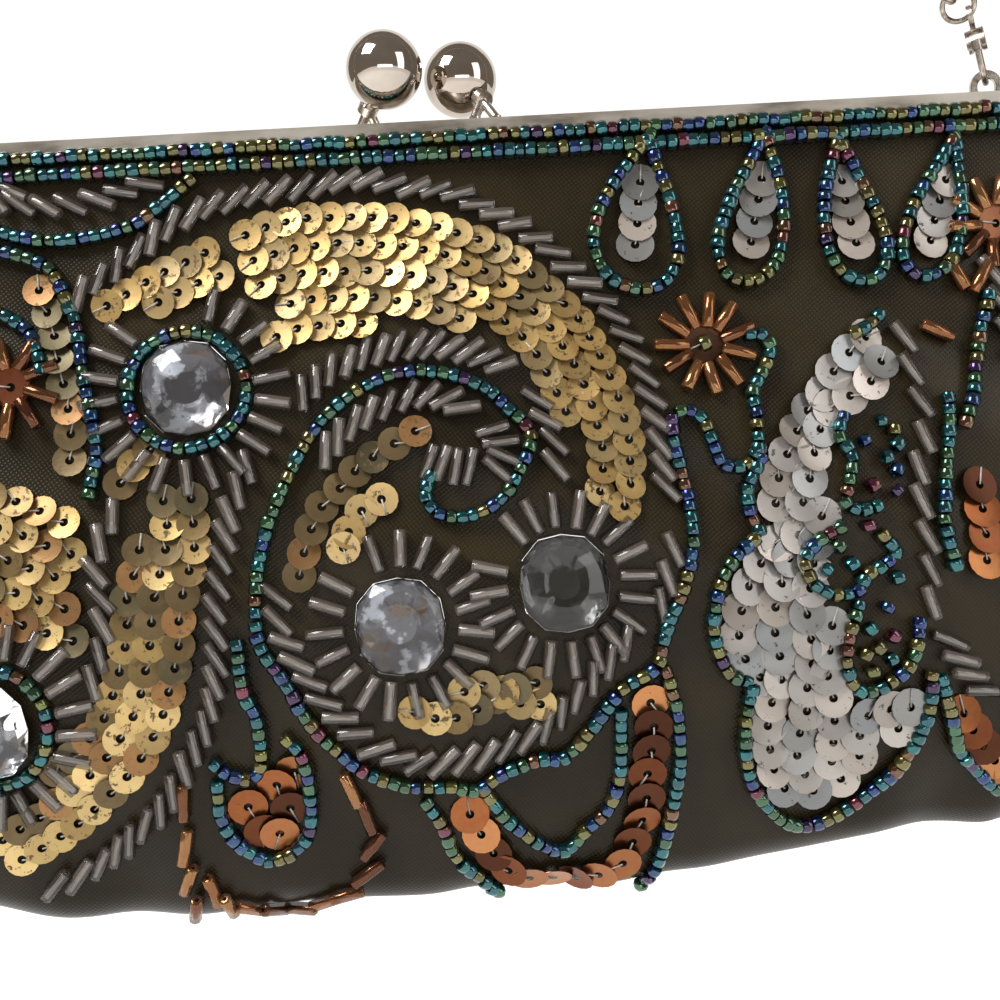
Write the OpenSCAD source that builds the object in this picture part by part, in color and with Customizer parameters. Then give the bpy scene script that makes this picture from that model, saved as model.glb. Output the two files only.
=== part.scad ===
// Evening bag: a beaded satin clutch on a two-knob metal frame, hung by a short chain.
// +X is the wearer's right-hand end seen from the front, the front faces -Y and +Z is up.
// The origin is the point that the chain's top ring hangs from.

/* [Frame] */
// Width over the frame's two halves
frame_w = 216; // [212:1:240]
// Height of the polished rim above the fabric
rim_h = 2; // [1.5:0.1:3]
// Depth of one half's rim, front to back
rim_depth = 4.4; // [4:0.1:5]
// Gap between the two closed halves
rim_gap = 0.3; // [0.2:0.1:0.5]
// Outer radius of the frame's top corners
frame_corner_r = 11; // [8:1:12]
// Height of the sewing flange below the rim
flange_h = 8; // [6:1:9]
// Thickness of the sewing flange
flange_t = 0.8; // [0.6:0.1:1]
// Pitch of the sewing holes
sew_pitch = 10; // [8:1:14]
// Depth of the hinge below the top of the frame
hinge_drop = 34; // [30:1:38]
// Radius of the hinge rivet's shank
rivet_r = 1.2; // [1:0.1:1.4]
// Running clearance round the rivet
rivet_clearance = 0.05; // [0.02:0.01:0.1]

/* [Knobs] */
// Radius of each kiss-lock knob
knob_r = 6.15; // [5:0.05:6.2]
// Height of the knobs' centres above the frame
knob_z = 8.5; // [7.8:0.1:10]
// How far each knob leans across the other half of the frame
knob_lean = 3.8; // [3.2:0.1:4]

/* [Chain] */
// Distance of each chain ear from the middle of the frame
ear_x = 95; // [80:1:95]
// Radius of the hole in each ear
ear_hole_r = 1.6; // [1.5:0.1:1.8]
// Outer radius of each ear
ear_r = 2.8; // [2.7:0.1:3.2]
// Wire diameter of the chain's links
link_wire = 1.3; // [1:0.1:1.4]
// Outer length of one link
link_l = 7.7; // [7.4:0.1:9]
// Outer width of one link
link_w = 5; // [4.6:0.1:6]
// Number of links on each side, an even number
links_a_side = 24; // [22:2:30]
// Lean of the lobster clasps from upright
clasp_lean = 12; // [5:1:15]

/* [Bag] */
// Height of the bag from the rim's top to the base
bag_h = 126; // [122:0.5:136]
// Greatest half depth of the body
belly = 19; // [16:0.5:22]
// Half depth at the base
base_half = 13; // [11:0.5:15]
// Depth below the rim of the widest place
belly_drop = 90; // [85:1:95]
// Radius of the lower corners
corner_r = 22; // [16:1:28]
// Thickness of the satin shell
shell_t = 1; // [0.8:0.1:1.2]

/* [Hidden] */
$fn = 64;
eps = 0.01;
half_w = frame_w / 2;
body_half = half_w - 1;
rim_in = rim_gap / 2;
rim_out = rim_in + rim_depth;
flange_y = 1.7;
arm_t = 2;
arm_end = hinge_drop - 5;
lug_r = 4;
lug_t = 1;
lug_gap = 0.1;
rivet_head_r = 2.4;
rivet_head_t = 1;
sew_hole_r = 0.6;
ear_t = 0.6;
ear_y = rim_in + ear_t / 2;
ear_hole_z = ear_hole_r + 0.3;

// Fabric: layers counted inwards from the outside of the shell
top_half = 4.7;
upper_end = hinge_drop - 8.5;
lower_start = hinge_drop + 3;
inner_start = hinge_drop + 6;
inner_end = hinge_drop - 10;
fleece_in = [shell_t + 0.05, shell_t + 0.85];
lining_in = [4, 4.4];
pocket_in = [4.5, 4.8];
gusset_t = 1;
board_l = 110;
board_w = 18;
board_lift = 1.3;
board_t = 1.6;

// Clasps: a claw of bent wire, a gate, its pin and spring, and an eye for the jump ring
claw_wire_r = 0.5;
claw_r = 2.5;
claw_straight = 3.6;
claw_yaw = 60;
eye_up = 8.6;
eye_r = 2;
eye_hole_r = 1.32;
clasp_t = 2.9;
eye_t = 0.8;
pivot = [2.1, 4.9];
pin_r = 0.4;
gate_slot = 0.75;
wire_in_hole = ear_hole_z + ear_hole_r - claw_wire_r - 0.35;
ring_wire = 0.9;
ring_mean_r = 2.5;
top_ring_wire = 1.6;
top_ring_r = 5.2;
slack = 0.1;

// Chain: every element's place is counted along the straight line from the clasp's eye
eye_place = [ear_x - (claw_r + eye_up) * sin(clasp_lean), 0,
             wire_in_hole + (claw_r + eye_up) * cos(clasp_lean)];
first_bite = 0.4;
link_pitch = link_l - 2 * link_wire - slack;
link_reach = (link_l - link_wire) / 2;
ring_centre = first_bite + ring_mean_r;
first_link = ring_centre + ring_mean_r - (ring_wire + link_wire) / 2 - slack + link_reach;
last_link = first_link + (links_a_side - 1) * link_pitch;
chain_end = last_link + link_reach - (link_wire + top_ring_wire) / 2 - slack;
end_x = top_ring_r * sin(45);
chain_lean = asin((eye_place[0] - end_x) / chain_end);
chain_dir = [-sin(chain_lean), 0, cos(chain_lean)];
top_ring_z = eye_place[2] + chain_end * chain_dir[2] + end_x;
hang_z = top_ring_z + top_ring_r - top_ring_wire / 2;
jump_roll = atan2(cos(claw_yaw), -sin(claw_yaw) * cos(chain_lean));
last_roll = 90;

// Stones: [place across, place below the rim]
stones = [[-40, 41.5], [-9, 79.5], [16.5, 75], [-72.5, 90.5]];
stone_w = 14;
stone_h = 15.2;
stone_t = 4;
stone_hole_r = 0.6;

// Half depth of the bag at a depth t below the rim
function half_depth(t) = t < belly_drop
    ? top_half + (belly - top_half) * sin(90 * pow(max(t, 0) / belly_drop, 1.5))
    : base_half + (belly - base_half) * cos(90 * (t - belly_drop) / (bag_h - belly_drop));

// The same, in straight facets of equal height that every layer shares
facet = 4;
facets = [for (t = [0 : facet : bag_h + facet]) [t, half_depth(t)]];
function depths(from, to) = concat(from, [for (f = facets) if (f[0] > from && f[0] < to) f[0]], to);
function edge_points(from, to, inset) = [for (t = depths(from, to)) [lookup(t, facets) - inset, -t]];
function edge_back(from, to, inset) = let (e = edge_points(from, to, inset)) [for (i = [len(e) - 1 : -1 : 0]) e[i]];

// Moves a piece from the bag's own frame, at the rim's middle, to the hang point's
module on_bag() { translate([0, -ear_y, -hang_z]) children(); }

// Moves a piece from the chain's frame, in the plane of the ears, to the hang point's
module on_chain() { translate([0, 0, -hang_z]) children(); }

// Stands a shape drawn in X and Z up, and gives it its depth from y0 to y1
module stand(y0, y1) { translate([0, y1, 0]) rotate([90, 0, 0]) linear_extrude(y1 - y0) children(); }

// A straight round rod between two points
module rod(a, b, r) {
    d = b - a;
    translate(a) rotate([0, acos(d[2] / norm(d)), atan2(d[1], d[0])]) cylinder(r = r, h = norm(d));
}

// One end of the frame's outline, with a round top corner and open at the bottom
module arch(inset, low) {
    r = frame_corner_r - inset;
    for (s = [-1, 1]) translate([s * (half_w - frame_corner_r), -frame_corner_r]) circle(r = r);
    translate([-half_w + frame_corner_r, -frame_corner_r]) square([2 * (half_w - frame_corner_r), r]);
    translate([-half_w + inset, -low]) square([2 * (half_w - inset), low - frame_corner_r]);
}

// The rim and the sewing flange of one half, drawn for the back
module half_frame() {
    stand(rim_in, rim_out) difference() {
        arch(0, arm_end);
        arch(rim_h, arm_end + 1);
    }
    difference() {
        stand(flange_y, flange_y + flange_t) difference() {
            arch(rim_h - eps, arm_end);
            arch(rim_h + flange_h, arm_end + 1);
        }
        sew_holes();
    }
}

// The row of sewing holes along the flange
module sew_holes() {
    count = floor((half_w - 2 * frame_corner_r) / sew_pitch);
    for (i = [-count : count]) translate([i * sew_pitch, 0, -rim_h - flange_h / 2])
        rotate([-90, 0, 0]) cylinder(r = sew_hole_r, h = rim_out);
    for (s = [-1, 1], z = [18, 25]) translate([s * (half_w - rim_h - flange_h / 2), 0, -z])
        rotate([-90, 0, 0]) cylinder(r = sew_hole_r, h = rim_out);
}

// One hinge lug at the right end, from x0 to x1, joined to its half on the given side of the gap
module lug(x0, side) {
    difference() {
        union() {
            translate([x0, 0, -hinge_drop]) rotate([0, 90, 0]) cylinder(r = lug_r, h = lug_t);
            translate([x0, side > 0 ? rim_in : -lug_r, -hinge_drop])
                cube([lug_t, lug_r - rim_in, hinge_drop - arm_end + eps]);
        }
        translate([x0 - 1, 0, -hinge_drop]) rotate([0, 90, 0])
            cylinder(r = rivet_r + rivet_clearance, h = lug_t + 2);
    }
}

module both_ends() {
    children();
    mirror([1, 0, 0]) children();
}

module back_frame() {
    color("darkgray") on_bag() {
        half_frame();
        both_ends() lug(half_w - lug_t, 1);
    }
}

module front_frame() {
    color("darkgray") on_bag() {
        mirror([0, 1, 0]) half_frame();
        both_ends() lug(half_w - 2 * lug_t - lug_gap, -1);
    }
}

module hinge_rivet(side) {
    inner = half_w - 2 * lug_t - 2 * lug_gap;
    color("silver") on_bag() mirror([side < 0 ? 1 : 0, 0, 0]) translate([0, 0, -hinge_drop])
        rotate([0, 90, 0]) {
            translate([0, 0, inner - rivet_head_t]) cylinder(r = rivet_head_r, h = rivet_head_t);
            translate([0, 0, inner - eps]) cylinder(r = rivet_r, h = half_w - inner + 2 * eps);
            translate([0, 0, half_w]) cylinder(r = rivet_head_r, h = rivet_head_t);
        }
}

// A knob's stem: pads on the rim, two legs, a collar and a neck, drawn for the back half
module knob_stem() {
    collar = [-9.4, 0.9, 3.8];
    neck = [-6.2, -knob_lean, knob_z];
    along = (neck - collar) / norm(neck - collar);
    for (x = [-11.4, -8]) {
        translate([x, 2.6, 0]) cylinder(r = 1, h = 0.6);
        rod([x, 2.6, 0.4], collar, 0.8);
    }
    rod(collar - 0.7 * along, collar + 0.7 * along, 1.7);
    rod(collar, neck - (knob_r - 1) * along, 1.1);
}

module back_knob_stem() { color("silver") on_bag() knob_stem(); }
module front_knob_stem() { color("silver") on_bag() rotate([0, 0, 180]) knob_stem(); }
module back_knob() { color("lightgray") on_bag() translate([-6.2, -knob_lean, knob_z]) sphere(r = knob_r); }
module front_knob() { color("lightgray") on_bag() translate([6.2, knob_lean, knob_z]) sphere(r = knob_r); }

module chain_ear(side) {
    color("darkgray") on_bag() stand(ear_y - ear_t / 2, ear_y + ear_t / 2) translate([side * ear_x, 0])
        difference() {
            union() {
                translate([0, ear_hole_z]) circle(r = ear_r);
                translate([-ear_r, 0]) square([2 * ear_r, ear_hole_z]);
            }
            translate([0, ear_hole_z]) circle(r = ear_hole_r);
            translate([-2 * ear_r, -2 * ear_r]) square([4 * ear_r, 2 * ear_r]);
        }
}

// Carries a clasp from its own frame, with the claw's lower bend at the middle of the circle, to the ear
module at_ear(side) {
    on_chain() mirror([side < 0 ? 1 : 0, 0, 0]) translate([ear_x, 0, wire_in_hole])
        rotate([0, -clasp_lean, 0]) rotate([0, 0, claw_yaw]) translate([0, 0, claw_r]) children();
}

module clasp_body(side) {
    color("silver") at_ear(side) {
        // the lower bend and the back of the claw
        intersection() {
            rotate([90, 0, 0]) rotate_extrude() translate([claw_r, 0]) circle(r = claw_wire_r, $fn = 32);
            translate([-4, -2, -4]) cube([8, 4, 4.25]);
        }
        translate([-claw_r, 0, 0]) cylinder(r = claw_wire_r, h = claw_straight);
        // the shoulder with the slot that the gate turns in
        difference() {
            stand(-clasp_t / 2, clasp_t / 2) difference() {
                translate([0, claw_straight]) circle(r = claw_r + claw_wire_r);
                translate([0, claw_straight]) circle(r = claw_r - claw_wire_r);
                translate([-4, -1]) square([8, claw_straight + 0.6]);
            }
            translate([1.1, -gate_slot, claw_straight - 1]) cube([4, 2 * gate_slot, 1.5]);
            translate([pivot[0], gate_slot, pivot[1]]) rotate([90, 0, 0]) cylinder(r = 1.35, h = 2 * gate_slot);
            translate([pivot[0] - 1.35, -gate_slot, claw_straight]) cube([4, 2 * gate_slot, 1.3]);
            translate([pivot[0], 2, pivot[1]]) rotate([90, 0, 0]) cylinder(r = pin_r, h = 4);
        }
        translate([-claw_r, 0, claw_straight - 1]) cylinder(r = clasp_t / 2 - 0.6, h = 1.8);
        // the neck and the eye
        difference() {
            stand(-eye_t / 2, eye_t / 2) union() {
                translate([0, eye_up]) circle(r = eye_r);
                translate([-1.2, claw_straight + claw_r]) square([2.4, 1.4]);
            }
            translate([0, 2, eye_up]) rotate([90, 0, 0]) cylinder(r = eye_hole_r, h = 4);
        }
    }
}

module clasp_gate(side) {
    color("silver") at_ear(side) difference() {
        union() {
            translate([pivot[0], 0.3, pivot[1]]) rotate([90, 0, 0]) cylinder(r = 1, h = 0.95);
            rod([claw_r, 0, 0.35], [claw_r, 0, pivot[1] - 0.9], claw_wire_r);
            translate([pivot[0] - 0.4, -0.6, pivot[1] - 1.5]) cube([1.3, 0.85, 1.2]);
            // thumb lever
            translate([claw_r, -0.4, pivot[1] - 1.9]) cube([1.5, 0.65, 0.7]);
        }
        translate([pivot[0], 2, pivot[1]]) rotate([90, 0, 0]) cylinder(r = pin_r + 0.04, h = 4);
    }
}

module gate_pin(side) {
    color("gray") at_ear(side) translate([pivot[0], clasp_t / 2, pivot[1]]) rotate([90, 0, 0])
        cylinder(r = pin_r, h = clasp_t);
}

module gate_spring(side) {
    color("gray") at_ear(side) translate([pivot[0], 0.52, pivot[1]]) rotate([90, 0, 0])
        rotate_extrude() translate([0.7, 0]) circle(r = 0.13, $fn = 24);
}

// Carries a piece to a distance along the chain, rolled about the chain's line
module along_chain(side, distance, roll) {
    on_chain() mirror([side < 0 ? 1 : 0, 0, 0]) translate(eye_place + distance * chain_dir)
        rotate([0, -chain_lean, 0]) rotate([0, 0, roll]) children();
}

module wire_ring(r, wire) {
    rotate([90, 0, 0]) rotate_extrude() translate([r, 0]) circle(r = wire / 2, $fn = 32);
}

module jump_ring(side) {
    color("silver") along_chain(side, ring_centre, jump_roll) wire_ring(ring_mean_r, ring_wire);
}

// One link: two half rings and two straight sides, standing along Z
module chain_link() {
    r = (link_w - link_wire) / 2;
    straight = link_l - link_w;
    for (s = [-1, 1]) {
        intersection() {
            translate([0, 0, s * straight / 2]) wire_ring(r, link_wire);
            translate([-link_w, -link_wire, s > 0 ? straight / 2 : -straight / 2 - link_w])
                cube([2 * link_w, 2 * link_wire, link_w]);
        }
        translate([s * r, 0, -straight / 2 - eps]) cylinder(r = link_wire / 2, h = straight + 2 * eps, $fn = 32);
    }
}

module chain_side(side) {
    color("silver") for (i = [1 : links_a_side])
        along_chain(side, first_link + (i - 1) * link_pitch,
                    jump_roll + (last_roll - jump_roll) * i / links_a_side + 90 * (i % 2))
            chain_link();
}

module chain_top_ring() {
    color("silver") on_chain() translate([0, 0, top_ring_z]) wire_ring(top_ring_r, top_ring_wire);
}

// A layer of the front (side -1) or back (side 1), between two depths below the rim and two insets
module layer(side, from, to, insets) {
    on_bag() mirror([0, side < 0 ? 1 : 0, 0]) intersection() {
        translate([-half_w, 0, 0]) rotate([90, 0, 90]) linear_extrude(2 * half_w)
            polygon(concat(edge_points(from, to, insets[0]), edge_back(from, to, insets[1])));
        children();
    }
}

// The body's outline seen from the front, from a depth below the rim down to the base
module body_outline(from, inset) {
    low = bag_h - inset;
    r = corner_r - inset;
    w = body_half - inset;
    translate([-w, -low + r]) square([2 * w, low - r - from]);
    translate([-w + r, -low]) square([2 * (w - r), r + eps]);
    for (s = [-1, 1]) translate([s * (w - r), -low + r]) circle(r = r);
}

// The panel's outline from front, inside the frame's arms above and full width below
module upper_outline(from, to) { arch(rim_h + 0.1, to); }

module front_panel_upper() {
    color("darkolivegreen") layer(-1, rim_h + 0.1, upper_end, [0, shell_t])
        stand(-eps, 2 * belly) upper_outline(0, upper_end);
}

module front_panel_lower() {
    color("darkolivegreen") layer(-1, lower_start, bag_h, [0, shell_t])
        stand(-eps, 2 * belly) body_outline(lower_start, 0);
}

module back_panel() {
    color("darkolivegreen") layer(1, rim_h + 0.1, bag_h, [0, shell_t]) stand(-eps, 2 * belly) {
        upper_outline(0, arm_end - 0.2);
        translate([-half_w + 4, -lower_start - eps]) square([2 * half_w - 8, lower_start - arm_end + 1]);
        body_outline(lower_start, 0);
    }
}

module front_fleece_upper() {
    color("ivory") layer(-1, rim_h + 0.4, inner_end, fleece_in)
        stand(-eps, 2 * belly) arch(rim_h + 0.4, inner_end);
}

module front_fleece_lower() {
    color("ivory") layer(-1, inner_start, bag_h - 4, fleece_in)
        stand(-eps, 2 * belly) body_outline(inner_start, 4);
}

module back_fleece() {
    color("ivory") layer(1, rim_h + 0.4, bag_h - 4, fleece_in) stand(-eps, 2 * belly) {
        arch(rim_h + 0.4, inner_end);
        translate([-half_w + 6, -inner_start - eps]) square([2 * half_w - 12, inner_start - inner_end + 1]);
        body_outline(inner_start, 4);
    }
}

// The linings' upper outline: over the flange at the top, and clear of the arms' flanges below it
module lining_outline(to) {
    arch(rim_h + flange_h + 0.3, to);
    translate([-half_w + frame_corner_r, -rim_h - flange_h - 0.5])
        square([2 * (half_w - frame_corner_r), flange_h]);
}

module front_lining_upper() {
    color("peru") layer(-1, rim_h + 0.6, inner_end, lining_in)
        stand(-eps, 2 * belly) lining_outline(inner_end);
}

module front_lining_lower() {
    color("peru") layer(-1, inner_start, bag_h - 4, lining_in)
        stand(-eps, 2 * belly) body_outline(inner_start, 4);
}

module back_lining() {
    color("peru") layer(1, rim_h + 0.6, bag_h - 4, lining_in) stand(-eps, 2 * belly) {
        lining_outline(inner_end);
        translate([-half_w + 6, -inner_start - eps]) square([2 * half_w - 12, inner_start - inner_end + 1]);
        body_outline(inner_start, 4);
    }
}

module slip_pocket() {
    color("sienna") layer(1, 58, 108, pocket_in) stand(-eps, 2 * belly) translate([-60, -108]) square([120, 50]);
}

// The strip round the sides and the base, between the front and the back, as far in as its inset
module boxing(inset, t, gap, from) {
    across = [for (p = edge_back(from, bag_h, gap)) [-p[0], p[1]]];
    on_bag() intersection() {
        translate([-half_w, 0, 0]) rotate([90, 0, 90]) linear_extrude(2 * half_w)
            polygon(concat(edge_points(from, bag_h, gap), across));
        stand(-2 * belly, 2 * belly) difference() {
            body_outline(from, inset);
            body_outline(from - 1, inset + t);
        }
        children();
    }
}

base_end = body_half - corner_r;
module end_space(side) { translate([side > 0 ? base_end : -half_w - 1, -50, -bag_h - 1]) cube([half_w + 1 - base_end, 100, bag_h + 2]); }
module base_space() { translate([-base_end, -50, -bag_h - 1]) cube([2 * base_end, 100, bag_h + 2]); }

module gusset(side) { color("darkolivegreen") boxing(0, gusset_t, shell_t + 0.02, inner_start) end_space(side); }
module gusset_lining(side) { color("peru") boxing(4, 0.4, 4.5, inner_start + 2) end_space(side); }
module base_panel() { color("darkolivegreen") boxing(0, gusset_t, shell_t + 0.02, inner_start) base_space(); }
module base_lining() { color("peru") boxing(4, 0.4, 4.5, inner_start + 2) base_space(); }

module base_board() {
    color("tan") on_bag() translate([-board_l / 2, -board_w / 2, -bag_h + gusset_t + board_lift])
        cube([board_l, board_w, board_t]);
}

// A faceted sew-on stone: a rounded square girdle, a sloping crown and two thread holes
module stone(number) {
    across = stones[number - 1][0];
    t = stones[number - 1][1];
    lean = atan((half_depth(t + 4) - half_depth(t - 4)) / 8);
    function girdle(k) = [for (a = [0 : 30 : 330]) let (p = 0.75)
        [k * stone_w / 2 * sign(cos(a)) * pow(abs(cos(a)), p), k * stone_h / 2 * sign(sin(a)) * pow(abs(sin(a)), p)]];
    color("lightsteelblue") on_bag() translate([across, -half_depth(t) - 0.5, -t]) rotate([90 - lean, 0, 0])
        difference() {
            hull() {
                linear_extrude(0.2) polygon(girdle(0.9));
                translate([0, 0, 1]) linear_extrude(0.8) polygon(girdle(1));
                translate([0, 0, stone_t - 0.1]) linear_extrude(0.1) polygon(girdle(0.6));
            }
            for (x = [-1, 1]) translate([x * (stone_w / 2 - 1.8), 0, -1]) cylinder(r = stone_hole_r, h = stone_t + 2);
        }
}

back_frame();
front_frame();
hinge_rivet(-1);  // left_hinge_rivet
hinge_rivet(1);  // right_hinge_rivet
back_knob_stem();
back_knob();
front_knob_stem();
front_knob();
chain_ear(-1);  // left_chain_ear
chain_ear(1);  // right_chain_ear
clasp_body(-1);  // left_clasp_body
clasp_gate(-1);  // left_clasp_gate
gate_pin(-1);  // left_gate_pin
gate_spring(-1);  // left_gate_spring
clasp_body(1);  // right_clasp_body
clasp_gate(1);  // right_clasp_gate
gate_pin(1);  // right_gate_pin
gate_spring(1);  // right_gate_spring
jump_ring(-1);  // left_jump_ring
jump_ring(1);  // right_jump_ring
chain_side(-1);  // left_chain
chain_side(1);  // right_chain
chain_top_ring();
front_panel_upper();
front_panel_lower();
back_panel();
gusset(-1);  // left_gusset
gusset(1);  // right_gusset
base_panel();
base_board();
front_fleece_upper();
front_fleece_lower();
back_fleece();
front_lining_upper();
front_lining_lower();
back_lining();
gusset_lining(-1);  // left_gusset_lining
gusset_lining(1);  // right_gusset_lining
base_lining();
slip_pocket();
stone(1);  // sew_on_stone_1
stone(2);  // sew_on_stone_2
stone(3);  // sew_on_stone_3
stone(4);  // sew_on_stone_4
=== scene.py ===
import math
import random

import bmesh
import bpy
from mathutils import Matrix, Vector


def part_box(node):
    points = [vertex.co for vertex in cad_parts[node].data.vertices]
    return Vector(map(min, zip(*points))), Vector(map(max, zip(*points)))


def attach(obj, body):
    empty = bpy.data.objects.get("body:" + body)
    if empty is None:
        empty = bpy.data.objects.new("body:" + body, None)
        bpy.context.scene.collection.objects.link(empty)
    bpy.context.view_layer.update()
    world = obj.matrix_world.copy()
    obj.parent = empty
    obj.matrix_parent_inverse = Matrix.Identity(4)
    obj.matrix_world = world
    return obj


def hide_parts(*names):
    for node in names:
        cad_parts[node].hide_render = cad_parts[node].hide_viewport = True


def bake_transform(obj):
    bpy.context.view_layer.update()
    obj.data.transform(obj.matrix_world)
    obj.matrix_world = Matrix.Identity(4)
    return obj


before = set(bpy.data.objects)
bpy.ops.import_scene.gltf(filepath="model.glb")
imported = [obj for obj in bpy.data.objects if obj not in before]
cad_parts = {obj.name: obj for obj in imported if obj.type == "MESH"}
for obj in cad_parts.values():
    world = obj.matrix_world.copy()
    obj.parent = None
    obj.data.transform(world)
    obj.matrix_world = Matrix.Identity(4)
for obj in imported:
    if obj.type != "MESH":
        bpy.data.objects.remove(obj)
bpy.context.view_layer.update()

# ---------------------------------------------------------------- studio
# A product table: the bag hangs by its chain in front of a pale paper sweep that glows a little,
# with a window-like softbox high on the left, a weaker one on the right and a low strip in front.
MM = 0.001
RIM_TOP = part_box("back_frame")[1].z
MID_Y = (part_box("front_frame")[0].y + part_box("back_frame")[1].y) / 2
HALF_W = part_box("back_frame")[1].x / MM
BAG_H = (RIM_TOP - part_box("base_panel")[0].z) / MM


def place(x, y, t):
    """A point across, behind and below the middle of the frame's top, all in millimetres."""
    return Vector((x * MM, MID_Y + y * MM, RIM_TOP - t * MM))


def aim(yaw, pitch, roll):
    """The turn of a camera or light that looks along +Y, then yaws right, pitches up and rolls."""
    yaw, pitch, roll = (math.radians(a) for a in (yaw, pitch, roll))
    level = math.cos(pitch)
    ahead = Vector((math.sin(yaw) * level, math.cos(yaw) * level, math.sin(pitch)))
    right = Vector((math.cos(yaw), -math.sin(yaw), 0))
    up = right.cross(ahead)
    side = math.cos(roll) * right + math.sin(roll) * up
    top = math.cos(roll) * up - math.sin(roll) * right
    return Matrix((side, top, -ahead)).transposed().to_4x4()


eye = bpy.data.objects.new("camera", bpy.data.cameras.new("camera"))
bpy.context.scene.collection.objects.link(eye)
eye.data.lens = 39.6
eye.data.sensor_width = 36
eye.data.clip_start = 0.01
eye.matrix_world = Matrix.Translation(place(0.4, -187, 47)) @ aim(2.4, -4.75, -3.65)
bpy.context.scene.camera = eye


def softbox(name, x, y, t, towards, wide, high, power):
    """A rectangular light at a place, facing another place."""
    light = bpy.data.lights.new(name, "AREA")
    light.shape = "RECTANGLE"
    light.size, light.size_y = wide, high
    light.energy = power
    lamp = bpy.data.objects.new(name, light)
    bpy.context.scene.collection.objects.link(lamp)
    spot = place(x, y, t)
    facing = (towards - spot).to_track_quat("-Z", "Y").to_matrix().to_4x4()
    lamp.matrix_world = Matrix.Translation(spot) @ facing


bag_middle = place(0, 0, 60)
softbox("window", -420, -300, -560, bag_middle, wide=0.35, high=0.35, power=6.0)
softbox("side_fill", 520, -380, -160, bag_middle, wide=0.25, high=0.5, power=1.0)
softbox("front_strip", 60, -620, 40, bag_middle, wide=0.5, high=0.08, power=0.4)


def sweep():
    """The paper: a floor that curves up into a wall behind, in metres."""
    half_floor, nearer, bend_radius, wall_height = 1.6, 0.7, 0.45, 2
    bm = bmesh.new()
    bmesh.ops.create_grid(bm, x_segments=1, y_segments=1, size=half_floor)
    bmesh.ops.translate(bm, verts=bm.verts, vec=(0, -nearer, 0))
    back = [e for e in bm.edges if all(v.co.y > 0 for v in e.verts)]
    bend = bmesh.ops.spin(bm, geom=back, cent=(0, half_floor - nearer, bend_radius), axis=(1, 0, 0),
                          angle=math.pi / 2, steps=24)
    wall = [g for g in bend["geom_last"] if isinstance(g, bmesh.types.BMEdge)]
    rise = bmesh.ops.extrude_edge_only(bm, edges=wall)
    top = [g for g in rise["geom"] if isinstance(g, bmesh.types.BMVert)]
    bmesh.ops.translate(bm, verts=top, vec=(0, 0, wall_height))
    bmesh.ops.recalc_face_normals(bm, faces=bm.faces)
    return bm


def make(name, bm, material=None, smooth=True):
    """A finished object from a bmesh."""
    mesh = bpy.data.meshes.new(name)
    bm.to_mesh(mesh)
    bm.free()
    mesh.polygons.foreach_set("use_smooth", [smooth] * len(mesh.polygons))
    thing = bpy.data.objects.new(name, mesh)
    bpy.context.scene.collection.objects.link(thing)
    if material:
        mesh.materials.append(material)
    return thing


def principled(name, **sockets):
    """A material whose shader has these constant values; an underscore stands for a space."""
    material = bpy.data.materials.new(name)
    material.use_nodes = True
    shader = material.node_tree.nodes["Principled BSDF"]
    for socket, value in sockets.items():
        shader.inputs[socket.replace("_", " ")].default_value = value
    return material, shader


paper, _ = principled("paper", Base_Color=(0.5, 0.5, 0.49, 1), Roughness=0.9,
                      Emission_Color=(1, 1, 0.99, 1), Emission_Strength=0.92)
FLOOR_GAP = 60
floor = make("paper_sweep", sweep(), paper)
floor.data.transform(Matrix.Translation(place(0, 0, BAG_H + FLOOR_GAP)))
# the paper's glow is for the eye alone: it throws no soft light on the bag
floor.visible_diffuse = False


def add(owner, kind, **settings):
    """A node in a material or the world, with its settings and the values of its inputs."""
    node = owner.node_tree.nodes.new(kind)
    for key, value in settings.items():
        if key[0].isupper():
            node.inputs[key.replace("_", " ")].default_value = value
        else:
            setattr(node, key, value)
    return node


def join(owner, *chain):
    """Links (node, output) to (node, input), two by two."""
    for (a, out), (b, into) in zip(chain[::2], chain[1::2]):
        owner.node_tree.links.new(a.outputs[out], b.inputs[into])


# the room's warm dim walls light the bag, and the camera sees white where the paper ends
room = bpy.data.worlds.new("room")
bpy.context.scene.world = room
room.use_nodes = True
warm_walls = room.node_tree.nodes["Background"]
warm_walls.inputs["Color"].default_value = (0.66, 0.58, 0.50, 1)
warm_walls.inputs["Strength"].default_value = 0.34
white_beyond = add(room, "ShaderNodeBackground", Color=(1, 1, 0.99, 1))
light_path = add(room, "ShaderNodeLightPath")
either = add(room, "ShaderNodeMixShader")
join(room, (light_path, "Is Camera Ray"), (either, 0), (warm_walls, 0), (either, 1),
     (white_beyond, 0), (either, 2), (either, 0), (room.node_tree.nodes["World Output"], 0))
bpy.context.scene.view_settings.view_transform = "Standard"

# ---------------------------------------------------------------- frame
# The two halves of the bag's frame: a rolled strip of nickel-plated steel with a sewing flange.
# Each is bent to a wide arch, drilled for the needle, and the plating has gone warm and dull.


def ramp(material, *stops):
    """A colour ramp with these (place, colour) stops."""
    node = add(material, "ShaderNodeValToRGB")
    marks = node.color_ramp.elements
    while len(marks) < len(stops):
        marks.new(0.5)
    for mark, (spot, colour) in zip(marks, stops):
        mark.position = spot
        mark.color = (*colour, 1)
    return node


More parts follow.
